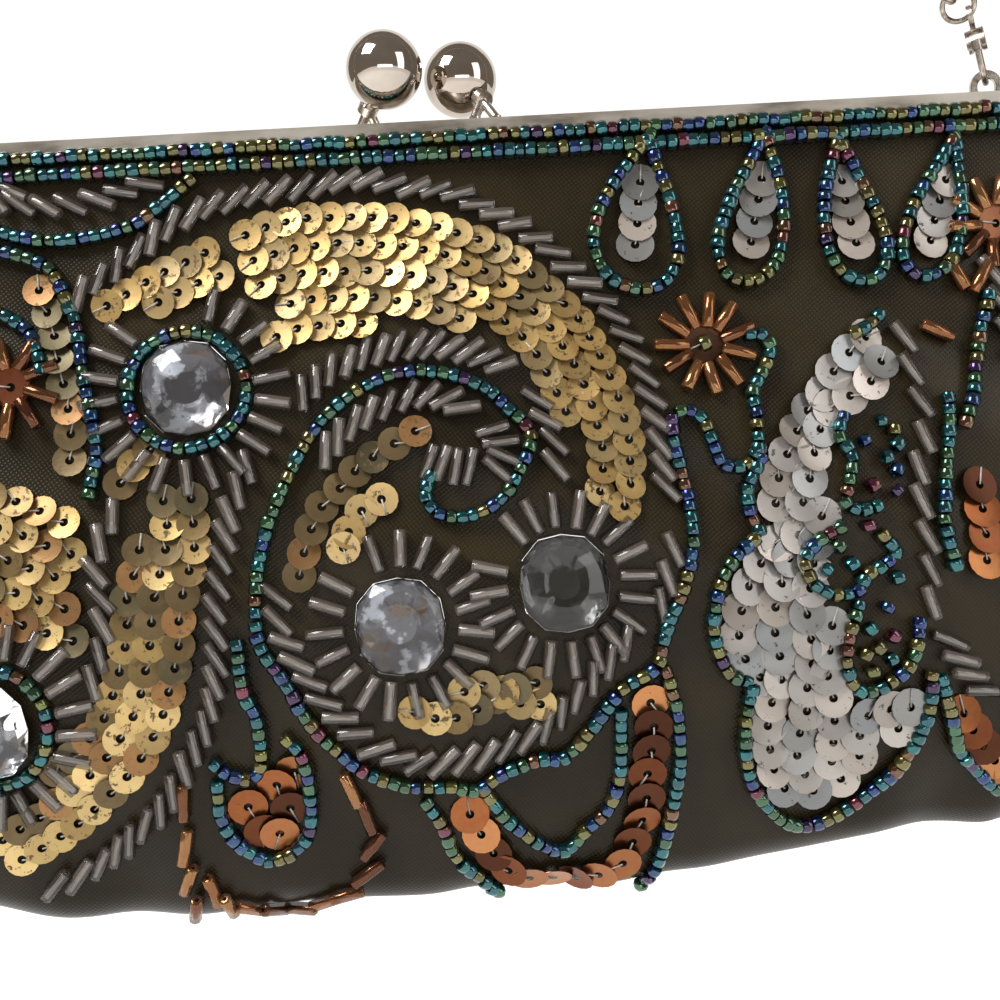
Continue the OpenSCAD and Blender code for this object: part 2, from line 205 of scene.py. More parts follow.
def mottled(name, stops, scale, rough, bump, stretch=(1, 1, 1), detail=4, **sockets):
    """A surface whose colour, roughness and relief all follow one noise on Object coordinates."""
    material, shader = principled(name, **sockets)
    spots = add(material, "ShaderNodeTexCoord")
    mapping = add(material, "ShaderNodeMapping", Scale=stretch)
    noise = add(material, "ShaderNodeTexNoise", Scale=scale, Detail=detail, Roughness=0.6)
    tone = ramp(material, *stops)
    gloss = add(material, "ShaderNodeMapRange", To_Min=rough[0], To_Max=rough[1])
    relief = add(material, "ShaderNodeBump", Strength=bump, Distance=0.0002)
    join(material, (spots, "Object"), (mapping, "Vector"), (mapping, "Vector"), (noise, "Vector"),
         (noise, "Fac"), (tone, "Fac"), (tone, "Color"), (shader, "Base Color"),
         (noise, "Fac"), (gloss, "Value"), (gloss, "Result"), (shader, "Roughness"),
         (noise, "Fac"), (relief, "Height"), (relief, "Normal"), (shader, "Normal"))
    return material


def dress(material, *names):
    """Gives CAD nodes their finish."""
    for name in names:
        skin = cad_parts[name].data.materials
        skin.clear()
        skin.append(material)


aged_nickel = mottled("aged_nickel",
                      [(0.3, (0.30, 0.26, 0.22)), (0.5, (0.62, 0.57, 0.50)), (0.7, (0.74, 0.70, 0.63))],
                      scale=260, rough=(0.26, 0.42), bump=0.12, stretch=(0.25, 1, 1), Metallic=0.92)
dress(aged_nickel, "back_frame", "front_frame")

# ---------------------------------------------------------------- hinge rivets
# Turned steel pins with a shoulder, one through both halves' lugs at each side. Their heads are
# peened over and plated.
bright_steel = mottled("bright_steel", [(0.3, (0.42, 0.41, 0.39)), (0.6, (0.72, 0.70, 0.67))],
                       scale=420, rough=(0.18, 0.32), bump=0.08, Metallic=1.0)
dress(bright_steel, "left_hinge_rivet", "right_hinge_rivet")

# ---------------------------------------------------------------- kiss-lock
# Two hollow polished balls on cast stems, soldered to the rims, that snap past each other.
mirror_nickel = mottled("mirror_nickel", [(0.2, (0.40, 0.34, 0.29)), (0.75, (0.64, 0.57, 0.50))],
                        scale=90, rough=(0.03, 0.09), bump=0.02, Metallic=1.0)
dress(mirror_nickel, "back_knob", "front_knob")
cast_nickel = mottled("cast_nickel", [(0.3, (0.36, 0.31, 0.27)), (0.6, (0.70, 0.65, 0.59))],
                      scale=500, rough=(0.14, 0.34), bump=0.15, Metallic=1.0)
dress(cast_nickel, "back_knob_stem", "front_knob_stem", "left_chain_ear", "right_chain_ear")

# ---------------------------------------------------------------- base board
# A strip of grey card, 1.6 mm thick, that keeps the base flat between the satin and the lining.
card = mottled("grey_card", [(0.35, (0.30, 0.27, 0.23)), (0.65, (0.44, 0.40, 0.34))],
               scale=900, rough=(0.85, 0.95), bump=0.3)
dress(card, "base_board")

# ---------------------------------------------------------------- lining and padding
# The bag's body is cut in three layers: bronze acetate lining, white fleece padding and the satin
# shell. All follow one shape: narrow at the rim, full at three quarters of the way down.
TOP_HALF = 4.7
BELLY_HALF = 19.0
BASE_HALF = 13.0
BELLY_DROP = 90.0
CORNER = 22.0
HINGE_DROP = 34.0
HEM_STARTS = 96


def ease(low, high, value):
    """0 below low, 1 above high, and a smooth step between."""
    k = min(max((value - low) / (high - low), 0), 1)
    return k * k * (3 - 2 * k)


def half_depth(x, t):
    """How far the cloth stands from the bag's middle plane."""
    if t < BELLY_DROP:
        full = TOP_HALF + (BELLY_HALF - TOP_HALF) * math.sin(math.pi / 2 * (max(t, 0) / BELLY_DROP) ** 1.5)
    else:
        quarter = math.pi / 2 * (t - BELLY_DROP) / (BAG_H - BELLY_DROP)
        full = BASE_HALF + (BELLY_HALF - BASE_HALF) * math.cos(quarter)
    ends = 1 - 0.25 * ease(70, 107, abs(x))
    return TOP_HALF + (full - TOP_HALF) * ends


def hem_rise(x):
    """How far the soft lower edge rises above its lowest line."""
    return 4.2 * ease(36, 66, x) + 5 * ease(60, 86, -x) + 0.5 * math.sin(x / 5.5) - 0.7


def ripple(x, t, side):
    """Soft folds that the beadwork draws in the cloth, deepest at the lower edge."""
    low = ease(HEM_STARTS, 124, t)
    fan = math.sin(x / 2.9 + 1.4 * math.sin(x / 17) + t / 24) * (0.5 + 0.4 * math.sin(x / 11)) * low
    slant = 0.45 * math.sin((x + side * 1.4 * t) / 6.5 + 1.3 * math.sin(t / 17))
    return fan + slant * ease(12, 30, t)


def body_width(t):
    """Half the width of the cloth at a depth: inside the frame's arms above, round corners below."""
    wide = HALF_W - 2.3 + 1.3 * ease(28, 38, t)
    if t > BAG_H - CORNER:
        wide = HALF_W - 1 - CORNER + math.sqrt(max(CORNER ** 2 - (t - BAG_H + CORNER) ** 2, 0))
    return wide


def cloth(x, t, side, inset=0.0):
    """The point of a layer at a place on the front (side -1) or back (side 1): rolled in at its
    edges, and tucked behind the frame's flange at its top."""
    roll = 1.2 + 4.8 * ease(28, 40, t)
    past_x = max(abs(x) - (body_width(min(t, BAG_H - CORNER)) - CORNER), 0)
    past_t = max(t - BAG_H + CORNER, 0)
    edge = CORNER - math.hypot(past_x, past_t)
    tuck = roll - math.sqrt(max(roll ** 2 - max(roll - max(edge, 0), 0) ** 2, 0))
    tuck += 1.3 * (1 - ease(2, 4, t))
    y = half_depth(x, t) + ripple(x, t, side) - tuck - inset
    return place(x, side * y, t - hem_rise(x) * ease(HEM_STARTS, 126, t))


def panel(name, side, top, low, inset, margin, thick, columns, rows):
    """A layer of cloth from a depth to another, closed at its edges, with its faces outwards."""
    bm = bmesh.new()
    bmesh.ops.create_grid(bm, x_segments=columns, y_segments=rows, size=1)
    for v in bm.verts:
        t = top + (low - top) * (1 - v.co.y) / 2
        x = v.co.x * (body_width(t) - margin)
        v.co = cloth(x, t, side, inset)
    if side > 0:
        bmesh.ops.reverse_faces(bm, faces=bm.faces)
    sheet = make(name, bm)
    wall = sheet.modifiers.new("wall", "SOLIDIFY")
    wall.thickness = thick * MM
    wall.offset = -1
    return sheet


def woven(name, dark, light, threads, rough, sheen, turn=0.0):
    """Plain-woven cloth: two crossed sets of threads, and a slow change of shade."""
    material, shader = principled(name, Sheen_Weight=sheen, Sheen_Roughness=0.4, Specular_IOR_Level=0.2)
    spots = add(material, "ShaderNodeTexCoord")
    bias = add(material, "ShaderNodeMapping", Rotation=(0, turn, 0))
    warp = add(material, "ShaderNodeTexWave", bands_direction="X", Scale=threads, Distortion=0.6, Detail=1)
    weft = add(material, "ShaderNodeTexWave", bands_direction="Z", Scale=threads, Distortion=0.6, Detail=1)
    cross = add(material, "ShaderNodeMath", operation="MULTIPLY")
    shade = add(material, "ShaderNodeTexNoise", Scale=60, Detail=3)
    mixed = add(material, "ShaderNodeMath", operation="MULTIPLY_ADD")
    mixed.inputs[1].default_value = 0.3
    tone = ramp(material, (0.15, dark), (0.95, light))
    gloss = add(material, "ShaderNodeMapRange", To_Min=rough[0], To_Max=rough[1])
    relief = add(material, "ShaderNodeBump", Strength=0.35, Distance=0.0001)
    join(material, (spots, "Object"), (bias, "Vector"), (bias, "Vector"), (warp, "Vector"),
         (bias, "Vector"), (weft, "Vector"), (warp, "Fac"), (cross, 0), (weft, "Fac"), (cross, 1),
         (spots, "Object"), (shade, "Vector"), (cross, "Value"), (mixed, 0), (shade, "Fac"), (mixed, 2),
         (mixed, "Value"), (tone, "Fac"), (tone, "Color"), (shader, "Base Color"),
         (cross, "Value"), (gloss, "Value"), (gloss, "Result"), (shader, "Roughness"),
         (cross, "Value"), (relief, "Height"), (relief, "Normal"), (shader, "Normal"))
    return material


bronze_lining = woven("bronze_lining", (0.05, 0.025, 0.012), (0.22, 0.12, 0.06),
                      threads=700, rough=(0.3, 0.45), sheen=0.1)
white_fleece = woven("white_fleece", (0.5, 0.48, 0.44), (0.8, 0.78, 0.74),
                     threads=260, rough=(0.85, 0.95), sheen=0.7)


def follow_hinge(thing):
    """Bakes a piece's placement into its mesh; it is attached to no body."""
    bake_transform(thing)


def layer(name, side, top, low, inset, margin, thick, material, nodes, columns, rows):
    """One cut piece of cloth, made as a sheet, that stands for its CAD solids and hides them."""
    sheet = panel(name, side, top, low, inset, margin, thick, columns, rows)
    sheet.data.materials.append(material)
    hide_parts(*nodes)
    if side < 0:
        follow_hinge(sheet)
    else:
        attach(sheet, "bag")


LINING, LINING_INSET = 0.3, 4.0
FLEECE, FLEECE_INSET = 0.8, 1.4
for name, side, nodes in (("front_lining", -1, ["front_lining_upper", "front_lining_lower"]),
                          ("back_lining_sheet", 1, ["back_lining"])):
    layer(name, side, top=10.5, low=BAG_H - 4, inset=LINING_INSET, margin=7, thick=LINING,
          material=bronze_lining, nodes=nodes, columns=80, rows=50)
for name, side, nodes in (("front_fleece", -1, ["front_fleece_upper", "front_fleece_lower"]),
                          ("back_fleece_sheet", 1, ["back_fleece"])):
    layer(name, side, top=3, low=BAG_H - 3, inset=FLEECE_INSET, margin=5, thick=FLEECE,
          material=white_fleece, nodes=nodes, columns=80, rows=50)

# ---------------------------------------------------------------- shell
# The shell: dark olive satin, cut as a front, a back, two gussets and a base strip, sewn together
# inside out and sewn to the frame through the holes in its flanges.
olive_satin = woven("olive_satin", (0.008, 0.0055, 0.002), (0.050, 0.036, 0.015),
                    threads=560, rough=(0.3, 0.44), sheen=0.02, turn=0.6)
SATIN = 0.35
layer("front_cover", -1, top=2.05, low=BAG_H, inset=0, margin=0, thick=SATIN, material=olive_satin,
      nodes=["front_panel_upper", "front_panel_lower"], columns=250, rows=150)
layer("back_cover", 1, top=2.05, low=BAG_H, inset=0, margin=0, thick=SATIN, material=olive_satin,
      nodes=["back_panel"], columns=240, rows=140)


def edge_line(s):
    """A place (x, t, inward x, inward t) on the bag's outline, s mm round it from the hinge."""
    straight = BAG_H - CORNER - HINGE_DROP
    if s < straight:
        return HALF_W - 1, HINGE_DROP + s, -1, 0
    turn = min((s - straight) / CORNER, math.pi / 2)
    inward = -math.cos(turn), -math.sin(turn)
    return HALF_W - 1 - CORNER * (1 - math.cos(turn)), BAG_H - CORNER * (1 - math.sin(turn)), *inward


SIDE_RUN = BAG_H - CORNER - HINGE_DROP + CORNER * math.pi / 2


def gusset(name, hand, inset, thick, material, nodes):
    """The strip between front and back at one end, drawn in along its middle as the frame closes it."""
    bm = bmesh.new()
    bmesh.ops.create_grid(bm, x_segments=16, y_segments=70, size=1)
    for v in bm.verts:
        s = SIDE_RUN * (1 - v.co.y) / 2
        x, t, in_x, in_t = edge_line(s)
        x, t = x + inset * in_x, t + inset * in_t
        near, far = cloth(hand * x, t, -1, inset), cloth(hand * x, t, 1, inset)
        pull = 5 * (1 - v.co.x ** 2) * (1 - 0.8 * ease(SIDE_RUN - 40, SIDE_RUN, s))
        pleat = 0.5 * math.sin(5 * v.co.x) * math.sin(s / 7)
        v.co = near.lerp(far, (v.co.x + 1) / 2)
        v.co += Vector((hand * in_x, 0, -in_t)) * (pull + pleat * (1 - v.co.x ** 2)) * MM
    bmesh.ops.recalc_face_normals(bm, faces=bm.faces)
    face = min(bm.faces, key=lambda f: abs(f.calc_center_median().z - place(0, 0, 70).z))
    if face.normal.x * hand < 0:
        bmesh.ops.reverse_faces(bm, faces=bm.faces)
    strip = make(name, bm, material)
    wall = strip.modifiers.new("wall", "SOLIDIFY")
    wall.thickness = thick * MM
    wall.offset = -1
    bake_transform(strip)
    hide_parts(*nodes)


def base_strip(name, inset, thick, material, nodes):
    """The strip under the base, flat over its board."""
    bm = bmesh.new()
    bmesh.ops.create_grid(bm, x_segments=110, y_segments=8, size=1)
    low = BAG_H - inset
    for v in bm.verts:
        x = v.co.x * (HALF_W - 1 - CORNER)
        near, far = cloth(x, low, -1, inset), cloth(x, low, 1, inset)
        v.co = far.lerp(near, (v.co.y + 1) / 2)
    strip = make(name, bm, material)
    wall = strip.modifiers.new("wall", "SOLIDIFY")
    wall.thickness = thick * MM
    wall.offset = 1
    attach(strip, "bag")
    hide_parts(*nodes)


gusset("left_gusset_cover", -1, 0, SATIN, olive_satin, ["left_gusset"])
gusset("right_gusset_cover", 1, 0, SATIN, olive_satin, ["right_gusset"])
base_strip("base_cover", 0, SATIN, olive_satin, ["base_panel"])
gusset("left_gusset_lining_strip", -1, LINING_INSET, LINING, bronze_lining, ["left_gusset_lining"])
gusset("right_gusset_lining_strip", 1, LINING_INSET, LINING, bronze_lining, ["right_gusset_lining"])
base_strip("base_lining_strip", LINING_INSET, LINING, bronze_lining, ["base_lining"])

# ---------------------------------------------------------------- seed beads
# Rocailles in metal-coated iris glass, 2.4 mm across and 1.8 mm long, strung and couched down: two
# rows under the rim, front and back, and single lines that outline every motif.
BEAD_PITCH = 1.76
ROW_END = 102
UPPER_ROW, LOWER_ROW = 3.5, 5.9


def on_cloth(x, t, lift=0.0, turn=0.0, side=-1, tip=0.0, lean=0.0):
    """A matrix on the satin: X along the cloth turned by an angle, Z outwards, lifted in mm.
    It is then leaned about its X and tipped about its Y."""
    here = cloth(x, t, side)
    across = cloth(x + 0.5, t, side) - here
    down = cloth(x, t + 0.5, side) - here
    out = side * across.cross(down).normalized()
    across.normalize()
    frame_here = Matrix((across, out.cross(across), out)).transposed().to_4x4()
    twist = Matrix.Rotation(turn, 4, "Z") @ Matrix.Rotation(lean, 4, "X") @ Matrix.Rotation(-tip, 4, "Y")
    return Matrix.Translation(here + out * lift * MM) @ frame_here @ twist @ Matrix.Scale(MM, 4)


def walk(points, pitch, closed=False):
    """Evenly spaced (x, t, direction) along a smooth line through a few points."""
    ends = [points[-1], *points, points[0], points[1]] if closed else [points[0], *points, points[-1]]
    fine = []
    for p, q, r, s in zip(ends, ends[1:], ends[2:], ends[3:]):
        for k in (i / 10 for i in range(10)):
            fine.append([0.5 * (2 * b + (c - a) * k + (2 * a - 5 * b + 4 * c - d) * k * k
                                + (3 * b - a - 3 * c + d) * k ** 3) for a, b, c, d in zip(p, q, r, s)])
    fine.append(list(ends[-2]))
    spots, due = [], 0.0
    for (x0, t0), (x1, t1) in zip(fine, fine[1:]):
        step = math.hypot(x1 - x0, t1 - t0)
        while step and due <= step:
            k = due / step
            spots.append((x0 + (x1 - x0) * k, t0 + (t1 - t0) * k, math.atan2(t0 - t1, x1 - x0)))
            due += pitch
        due -= step
    return spots


SOFTEST_CORNER = math.radians(50)


def turned(profile, steps, axis="X"):
    """A small round piece, spun from a closed outline of (along, radius) points in mm."""
    bm = bmesh.new()
    ring = [bm.verts.new((a, r, 0) if axis == "X" else (r, 0, a)) for a, r in profile]
    loop = [bm.edges.new(pair) for pair in zip(ring, ring[1:] + ring[:1])]
    about = (1, 0, 0) if axis == "X" else (0, 0, 1)
    bmesh.ops.spin(bm, geom=ring + loop, cent=(0, 0, 0), axis=about, angle=math.tau, steps=steps,
                   use_merge=True)
    bmesh.ops.remove_doubles(bm, verts=bm.verts, dist=1e-5)
    bmesh.ops.recalc_face_normals(bm, faces=bm.faces)
    for edge in bm.edges:
        edge.smooth = edge.calc_face_angle(0) < SOFTEST_CORNER
    return bm


def pattern(name, *parts):
    """A shape to copy many times: one mesh, with a colour on its points and one slot for each part."""
    whole = bmesh.new()
    whole.verts.layers.float_color.new("tint")
    for slot, bm in enumerate(parts):
        for face in bm.faces:
            face.material_index = slot
            face.smooth = True
        part = bpy.data.meshes.new(name)
        bm.to_mesh(part)
        bm.free()
        whole.from_mesh(part)
        bpy.data.meshes.remove(part)
    shape = bpy.data.meshes.new(name)
    whole.to_mesh(shape)
    whole.free()
    return shape


def sew(name, shape, spots, *materials):
    """Copies a shape to every (matrix, colour) and makes one piece of them."""
    bm = bmesh.new()
    for matrix, tint in spots:
        one = shape.copy()
        one.transform(matrix)
        one.attributes["tint"].data.foreach_set("color", [*tint, 1] * len(one.vertices))
        bm.from_mesh(one)
        bpy.data.meshes.remove(one)
    piece = make(name, bm)
    for material in materials:
        piece.data.materials.append(material)
    return piece


def tinted(name, hue_swing, speck=None, **sockets):
    """A finish that takes its colour from each copy's tint, shifted a little over the surface.
    speck is (noise scale, share, colour, its roughness) for worn or chipped places."""
    material, shader = principled(name, **sockets)
    tint = add(material, "ShaderNodeAttribute", attribute_name="tint")
    spots = add(material, "ShaderNodeTexCoord")
    drift = add(material, "ShaderNodeTexNoise", Scale=900, Detail=2)
    hue = add(material, "ShaderNodeMapRange", From_Min=0.3, From_Max=0.7,
              To_Min=0.5 - hue_swing, To_Max=0.5 + hue_swing)
    shift = add(material, "ShaderNodeHueSaturation")
    join(material, (spots, "Object"), (drift, "Vector"), (drift, "Fac"), (hue, "Value"),
         (hue, "Result"), (shift, "Hue"), (tint, "Color"), (shift, "Color"))
    if speck:
        scale, share, dark, dull = speck
        chips = add(material, "ShaderNodeTexNoise", Scale=scale, Detail=6, Roughness=0.7)
        cut = ramp(material, (share, (0, 0, 0)), (share + 0.03, (1, 1, 1)))
        worn = add(material, "ShaderNodeMix", data_type="RGBA")
        worn.inputs["A"].default_value = (*dark, 1)
        gloss = add(material, "ShaderNodeMapRange", To_Min=dull, To_Max=sockets["Roughness"])
        relief = add(material, "ShaderNodeBump", Strength=0.4, Distance=0.0001)
        join(material, (spots, "Object"), (chips, "Vector"), (chips, "Fac"), (cut, "Fac"),
             (cut, "Color"), (worn, "Factor"), (shift, "Color"), (worn, "B"),
             (cut, "Color"), (gloss, "Value"), (gloss, "Result"), (shader, "Roughness"),
             (chips, "Fac"), (relief, "Height"), (relief, "Normal"), (shader, "Normal"))
        join(material, (worn, "Result"), (shader, "Base Color"))
    else:
        join(material, (shift, "Color"), (shader, "Base Color"))
    return material


iris_glass = tinted("iris_glass", 0.06, Metallic=0.8, Roughness=0.16, Coat_Weight=1.0, Coat_Roughness=0.03)
TEAL, GREEN, BLUE = (0.007, 0.10, 0.115), (0.035, 0.105, 0.05), (0.007, 0.045, 0.14)
OLIVE = (0.125, 0.115, 0.028)
PLUM, PINK, BRONZE = (0.035, 0.013, 0.07), (0.12, 0.02, 0.045), (0.12, 0.055, 0.022)
IRIS = 9 * [TEAL] + 6 * [GREEN] + 4 * [BLUE] + 5 * [OLIVE] + [PLUM, PINK, BRONZE]
seed_bead = pattern("seed_bead", turned([(-0.7, 0.4), (-0.88, 0.72), (-0.74, 1.08), (-0.34, 1.2), (0.34, 1.2),
                                         (0.74, 1.08), (0.88, 0.72), (0.7, 0.4)], 9))
chance = random.Random(4)


def bead_at(x, t, turn, side=-1, size=1.0):
    """One seed bead on its thread, a little out of line."""
    wide = size * chance.uniform(0.9, 1.12)
    spot = on_cloth(x + chance.uniform(-0.09, 0.09), t + chance.uniform(-0.09, 0.09), 1.1 * wide,
                    turn + chance.uniform(-0.13, 0.13), side, chance.uniform(-0.12, 0.12))
    stretch = Matrix.Diagonal((chance.uniform(0.86, 1.12), wide, wide, 1))
    shade = chance.uniform(0.75, 1.25)
    return spot @ stretch, [c * shade for c in chance.choice(IRIS)]


def bead_line(points, closed=False, side=-1):
    """A couched string of seed beads through a few points."""
    return [bead_at(x, t, turn, side) for x, t, turn in walk(points, BEAD_PITCH, closed)]


def ring_of_beads(x, t, radius):
    """A closed circle of seed beads."""
    count = round(math.tau * radius / BEAD_PITCH)
    turns = [math.tau * i / count for i in range(count)]
    return [bead_at(x + radius * math.cos(a), t - radius * math.sin(a), a + math.pi / 2) for a in turns]


def leaf(x, t, long, wide, lean, swing):
    """A pointed leaf's outline round a middle point, its tip upwards before it leans."""
    points = []
    for a in (math.tau * i / 18 for i in range(18)):
        across = wide / 2 * math.sin(a) * math.sin(a / 2) ** 1.3 * 1.25
        up = long / 2 * math.cos(a)
        across += swing * (up / long) ** 2
        points.append((x + across * math.cos(lean) + up * math.sin(lean),
                       t - up * math.cos(lean) + across * math.sin(lean)))
    return points


SPIRAL = [(-3, 57), (-4, 60), (-2, 63), (3, 63.5), (8, 61), (11, 57), (13, 52), (10, 47.5), (6, 43.5),
          (-1, 41), (-8, 41), (-15, 44), (-20, 48), (-24, 54), (-28, 62), (-30, 68), (-31, 75), (-30.5, 81),
          (-27, 87), (-24, 93), (-18, 100), (-11, 104), (-3, 105), (1, 106), (5, 104), (11, 102), (15, 102),
          (19, 98), (24, 92), (30, 88.5), (32, 83), (35, 77), (37, 70), (37, 63), (36, 56), (35.5, 50.5),
          (37.5, 49.5), (40, 50.5), (41.5, 54), (43, 58), (46.5, 58.5), (48.5, 56)]
CREST = [(48.5, 56), (49, 51), (49, 47), (51.5, 43), (52.5, 40), (51, 38), (48, 38)]
BLADE = [(49, 57.5), (46.5, 62), (46.5, 66), (47.5, 69.5), (44, 72), (41, 76), (39.5, 82), (40, 87), (42, 91),
         (45, 92.5), (44, 97), (43.5, 102), (44, 107), (46, 112), (49, 116), (53, 118.5), (58, 118),
         (63, 115), (68, 110), (71, 104), (73, 98), (73.5, 93)]
LINES = [SPIRAL, CREST, BLADE,
         [(-38, 8), (-42, 11), (-47, 14.5), (-53, 16), (-60, 16.5), (-67, 15), (-75, 12), (-84, 11),
          (-92, 13)],
         [(-74, 17), (-67, 18), (-61, 20.5), (-58.5, 25), (-57, 30), (-56, 38), (-54.5, 45), (-54, 50),
          (-55, 54), (-56, 58)],
         [(-76, 26), (-70, 27), (-65, 30), (-63, 34), (-62.5, 37)],
         [(-34, 80.5), (-33.5, 88), (-32, 92), (-32, 99), (-34, 101.5), (-37, 100.5), (-40, 98)],
         [(-39, 102), (-39, 107), (-37, 111.5), (-33, 115), (-29, 114.5), (-26, 111.5), (-25, 106),
          (-25.5, 99), (-28, 95.5)],
         [(-7, 107), (-5, 111), (-3, 117), (1, 121.5), (4, 125.5)],
         [(2, 106), (4.5, 110), (8, 114), (12, 117.5), (15.5, 117.5), (18, 114.5), (21.5, 111),
          (23.5, 106), (24, 100), (24, 95)],
         [(31.5, 89.5), (33, 97), (33, 105), (31.5, 114), (29.5, 121), (27, 125.5)],
         [(89, 34), (86.5, 42), (84.5, 49), (82, 55)],
         [(80, 50), (79.5, 57), (78, 64), (77, 70), (78.5, 77)],
         [(75, 94), (76.5, 100), (78, 106), (81, 111), (86, 117), (91, 119)],
         [(66, 39), (69, 37.5), (71, 36)],
         [(63, 52), (62, 55), (63.5, 58.5), (62.5, 62), (61.5, 65), (64, 66.5), (67, 66)],
         [(60.5, 69), (57, 71), (54.5, 74), (55.5, 77.5), (59, 79.5), (62.5, 79), (64, 77), (66.5, 75.5),
          (69, 73.5), (67, 70.5)],
         [(62.5, 81.5), (60.5, 86), (60, 91), (62, 94.5), (66, 94), (70, 91), (71.5, 87.5), (72, 84)]]
SINGLES = [(66, 56), (69, 59), (69, 53), (71, 54.5), (71, 57), (70.5, 61), (70, 64), (66, 63), (65, 69),
           (58, 75.5), (62, 75), (60, 72), (69, 77.5), (67, 82), (64, 85), (67.5, 86.5), (65, 88), (63, 89),
           (67, 90), (64, 91.5)]
LEAVES = [(33, 17, 25, 15, 0.15, 4), (52.5, 17.5, 25, 11.5, 0.25, -3), (67.5, 18.5, 24, 10.5, -0.12, 3),
          (82.5, 19, 24, 10, 0.35, -2)]


def bead_row(drop, start, side=-1):
    """A string of seed beads under the rim, from its left end to its right."""
    return bead_line([(start, drop), (0, drop), (ROW_END, drop)], side=side)


front_beads = bead_row(UPPER_ROW, -ROW_END) + bead_row(LOWER_ROW, 0.6 - ROW_END)
for line in LINES:
    front_beads += bead_line(line)
for x, t, long, wide, lean, swing in LEAVES:
    front_beads += bead_line(leaf(x, t, long, wide, lean, swing), closed=True)
front_beads += [bead_at(x, t, chance.uniform(0, 3)) for x, t in SINGLES]
STONE_AT = {}
for node in ("sew_on_stone_1", "sew_on_stone_2", "sew_on_stone_3", "sew_on_stone_4"):
    middle = (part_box(node)[0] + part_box(node)[1]) / 2
    STONE_AT[node] = middle.x / MM, (RIM_TOP - middle.z) / MM
BEAD_RING = 9.2
for node in ("sew_on_stone_1", "sew_on_stone_4"):
    front_beads += ring_of_beads(*STONE_AT[node], BEAD_RING)
ROSETTE, LEFT_ROSETTE, RIGHT_ROSETTE = (42, 39), (-67, 39), (92, 22)
front_beads.append(bead_at(*ROSETTE, 0.4, size=1.1))
# the left and right ends carry the same kind of scrolls, cut shorter
for points in ([(-96, 24), (-90, 30), (-86, 40), (-88, 50), (-95, 56), (-101, 52), (-101, 44), (-96, 40)],
               [(-100, 66), (-96, 76), (-98, 88), (-95, 100), (-88, 108), (-84, 116)],
               [(98, 24), (94, 34), (97, 44), (101, 52), (99, 62), (95, 70), (98, 82), (99, 92), (93, 102),
                (88, 108)]):
    front_beads += bead_line(points)
follow_hinge(sew("front_seed_beads", seed_bead, front_beads, iris_glass))
back_beads = bead_row(UPPER_ROW, -ROW_END, side=1) + bead_row(LOWER_ROW, 1 - ROW_END, side=1)
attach(sew("back_seed_beads", seed_bead, back_beads, iris_glass), "bag")

# ---------------------------------------------------------------- bugle beads
# Cut glass tubes, 5.9 mm long, smoky grey or copper, with a coated hole that shows as a line, bright
# in the smoke. Each is one stitch: slanting rows edge the gold, and rays stand round the stones.
smoke_glass = tinted("smoke_glass", 0.01, Roughness=0.08, Alpha=0.52, Specular_IOR_Level=1.0)
silver_hole = mottled("silver_hole", [(0.3, (0.80, 0.74, 0.66)), (0.7, (0.97, 0.93, 0.86))],
                      scale=130, rough=(0.3, 0.42), bump=0.01, detail=1, Metallic=0.2)
copper_glass = tinted("copper_glass", 0.012, Roughness=0.14, Metallic=0.75, Alpha=0.7, Specular_IOR_Level=0.8)
copper_hole = mottled("copper_hole", [(0.3, (0.05, 0.016, 0.006)), (0.7, (0.16, 0.06, 0.025))],
                      scale=130, rough=(0.25, 0.4), bump=0.01, detail=1, Metallic=0.8)


def tube(long, radius, hole):
    """A straight glass tube with fire-softened rims."""
    half = long / 2
    return turned([(-half, hole), (-half, radius - 0.12), (-half + 0.12, radius), (half - 0.12, radius),
                   (half, radius - 0.12), (half, hole)], 8)


def lining_of_hole(long, radius):
    """The coat of the hole: a thin tube pressed into its wall."""
    half = long / 2
    return turned([(-half, radius - 0.06), (-half, radius), (half, radius), (half, radius - 0.06)], 6)


BUGLE_LONG, BUGLE_RADIUS, BUGLE_HOLE = 5.9, 1.05, 0.36
BUGLE_WIDE = 2 * BUGLE_RADIUS + 0.05
BUGLE_LIFT = 0.95
RAY_MIDDLE = 2.9
bugle = pattern("bugle", tube(BUGLE_LONG, BUGLE_RADIUS, BUGLE_HOLE), lining_of_hole(BUGLE_LONG - 0.7, 0.42))
SMOKE = [(0.115, 0.09, 0.075), (0.16, 0.13, 0.112), (0.08, 0.06, 0.05), (0.20, 0.17, 0.15),
         (0.06, 0.045, 0.037)]
COPPER = [(0.34, 0.15, 0.06), (0.22, 0.09, 0.04), (0.42, 0.21, 0.09), (0.15, 0.06, 0.03)]
chance = random.Random(11)


def bugle_at(x, t, turn, colours, long=1.0):
    """One bugle bead, sewn down by its hole."""
    spot = on_cloth(x + chance.uniform(-0.2, 0.2), t + chance.uniform(-0.2, 0.2),
                    BUGLE_LIFT + chance.uniform(0, 0.25), turn + chance.uniform(-0.12, 0.12),
                    -1, chance.uniform(-0.1, 0.1))
    stretch = Matrix.Diagonal((long * chance.uniform(0.93, 1.04), 1, 1, 1))
    return spot @ stretch, chance.choice(colours)


def slanted(points, slant):
    """A rope-like row: each bugle leans the same way from the row's line and lies beside the last."""
    pitch = BUGLE_WIDE / math.sin(math.radians(abs(slant)))
    return [bugle_at(x, t, turn + math.radians(slant), SMOKE) for x, t, turn in walk(points, pitch)]


def rays(x, t, inner, count, colours=SMOKE, start=0.0, long=1.0, skip=()):
    """Bugles that stand like rays round a point."""
    found = []
    for i in range(count):
        a = start + math.tau * i / count
        r = inner + RAY_MIDDLE * long
        if i not in skip:
            found.append(bugle_at(x + r * math.cos(a), t - r * math.sin(a), a, colours, long))
    return found


